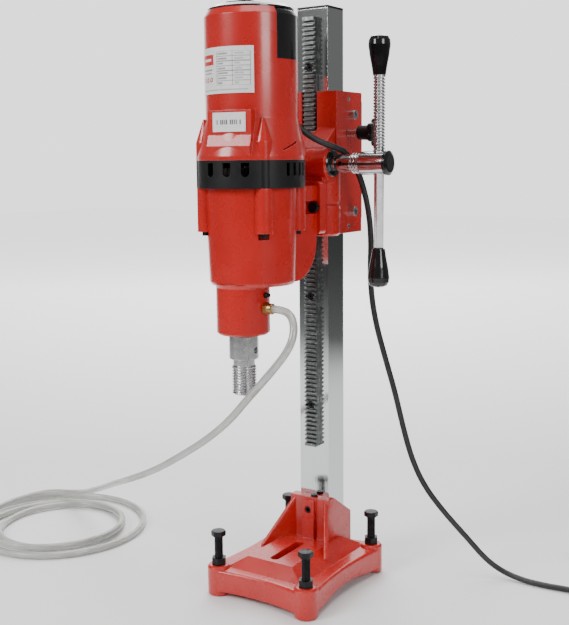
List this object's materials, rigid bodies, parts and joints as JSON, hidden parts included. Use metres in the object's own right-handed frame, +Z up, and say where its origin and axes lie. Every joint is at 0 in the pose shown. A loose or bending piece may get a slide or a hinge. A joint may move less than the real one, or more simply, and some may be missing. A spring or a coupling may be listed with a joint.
{
  "type": "core drill rig",
  "caption": "Wet core drill on a stand: motor and gear head on a carriage that a crank drives along a rack on a chromed square column.",
  "frame": {"origin": "centre of the underside of the rig's bounding box, at floor level, without the free hose and cord", "axes": "+Z up along the column, +X towards the crank's side, +Y from the drill towards the column"},
  "size_m": [1.089, 0.4848, 0.803],
  "materials": {
    "red_enamel": "gloss",
    "chrome_plate": "mirror",
    "machined_steel": "satin",
    "dark_steel": "oiled",
    "black_oxide": "satin",
    "black_plastic": "fine grain",
    "black_gloss": "gloss",
    "cord_rubber": "satin",
    "clear_vinyl": "clear flexible tube",
    "brass_fitting": "satin",
    "bronze": "machined",
    "copper_wire": "enamelled copper wire",
    "label_white": "printed film",
    "label_grey": "etched plate",
    "cast_aluminium": "as cast",
    "carbon": "graphite block"
  },
  "bodies": {
    "stand": {"base_casting": "red_enamel", "column_tube": "chrome_plate", "column_cap": "black_plastic", "gear_rack": "dark_steel", "rack_screws": "black_oxide", "column_screws": "black_oxide", "level_lock_nuts": "black_oxide", "travel_label": "label_grey", "cord_coil": "cord_rubber", "power_plug": "cord_rubber", "hose_coil": "clear_vinyl", "hose_coupling": "brass_fitting"},
    "crank": {"pinion_shaft": "machined_steel", "crank_hub": "chrome_plate", "crank_pin_screw": "black_oxide", "crank_end_cap": "black_gloss", "crank_bar": "machined_steel", "crank_grips": "black_gloss"},
    "lock_knob": {"lock_knob": "black_plastic"},
    "front_left_screw": {"level_screw_front_left": "black_oxide"},
    "front_right_screw": {"level_screw_front_right": "black_oxide"},
    "rear_left_screw": {"level_screw_rear_left": "black_oxide"},
    "rear_right_screw": {"level_screw_rear_right": "black_oxide"},
    "spindle": {"drill_spindle": "machined_steel", "spindle_gear": "machined_steel"},
    "lay_shaft": {"lay_shaft": "machined_steel"},
    "armature": {"armature_shaft": "machined_steel", "armature_core": "dark_steel", "commutator": "copper_wire", "cooling_fan": "cast_aluminium"},
    "switch": {"switch_rocker": "black_gloss"},
    "carriage": {"armature_bearings": "machined_steel", "bearing_bridge": "cast_aluminium", "bearing_cap": "black_gloss", "brush_gear": "carbon", "carriage_back_plate": "machined_steel", "carriage_casting": "red_enamel", "carriage_screws": "machined_steel", "cord_relief": "cord_rubber", "field_windings": "copper_wire", "flange_bolts": "black_oxide", "gear_bearings": "machined_steel", "gear_housing": "red_enamel", "gear_plate": "cast_aluminium", "gib_screws": "machined_steel", "gib_strip": "machined_steel", "grease_nipple": "black_oxide", "guide_pads": "black_plastic", "hose_fitting": "brass_fitting", "housing_screws": "black_oxide", "motor_housing": "red_enamel", "motor_labels": "label_white", "pinion_bushes": "bronze", "power_cord": "cord_rubber", "rear_cover": "black_gloss", "stator_stack": "dark_steel", "top_cap": "black_gloss", "vent_band": "black_plastic", "water_hose": "clear_vinyl", "water_seals": "cord_rubber"}
  },
  "joints": [
    {"name": "carriage_slide", "type": "slide", "parent": "stand", "child": "carriage", "axis": [0, 0, 1], "range_m": [-0.28, 0.1], "deforming": ["water_hose", "power_cord"]},
    {"name": "crank_turn", "type": "hinge", "parent": "carriage", "child": "crank", "pos_m": [-0.02275, 0.051, 0.592], "axis": [1, 0, 0], "range_deg": [-412, 1150]},
    {"name": "lock_knob_turn", "type": "hinge", "parent": "carriage", "child": "lock_knob", "pos_m": [0.05325, 0.096, 0.633], "axis": [1, 0, 0], "range_deg": [0, 720]},
    {"name": "spindle_spin", "type": "hinge", "parent": "carriage", "child": "spindle", "pos_m": [-0.02275, -0.096, 0.4], "axis": [0, 0, 1], "continuous": true},
    {"name": "lay_shaft_spin", "type": "hinge", "parent": "carriage", "child": "lay_shaft", "pos_m": [-0.02275, -0.052, 0.48], "axis": [0, 0, 1], "continuous": true},
    {"name": "armature_spin", "type": "hinge", "parent": "carriage", "child": "armature", "pos_m": [-0.02275, -0.07, 0.68], "axis": [0, 0, 1], "continuous": true},
    {"name": "switch_rock", "type": "hinge", "parent": "carriage", "child": "switch", "pos_m": [-0.03735, -0.0055, 0.745], "axis": [0, 1, 0], "range_deg": [0, 16]},
    {"name": "front_left_level", "type": "slide", "parent": "stand", "child": "front_left_screw", "axis": [0, 0, 1], "range_m": [-0.025, 0.005]},
    {"name": "front_right_level", "type": "slide", "parent": "stand", "child": "front_right_screw", "axis": [0, 0, 1], "range_m": [-0.025, 0.005]},
    {"name": "rear_left_level", "type": "slide", "parent": "stand", "child": "rear_left_screw", "axis": [0, 0, 1], "range_m": [-0.025, 0.005]},
    {"name": "rear_right_level", "type": "slide", "parent": "stand", "child": "rear_right_screw", "axis": [0, 0, 1], "range_m": [-0.025, 0.005]}
  ],
  "couplings": [
    {"joint": "crank_turn", "follows": "carriage_slide", "rad_per_m": -71.429},
    {"joint": "lay_shaft_spin", "follows": "spindle_spin", "ratio": -1.2},
    {"joint": "armature_spin", "follows": "spindle_spin", "ratio": 3.6}
  ]
}
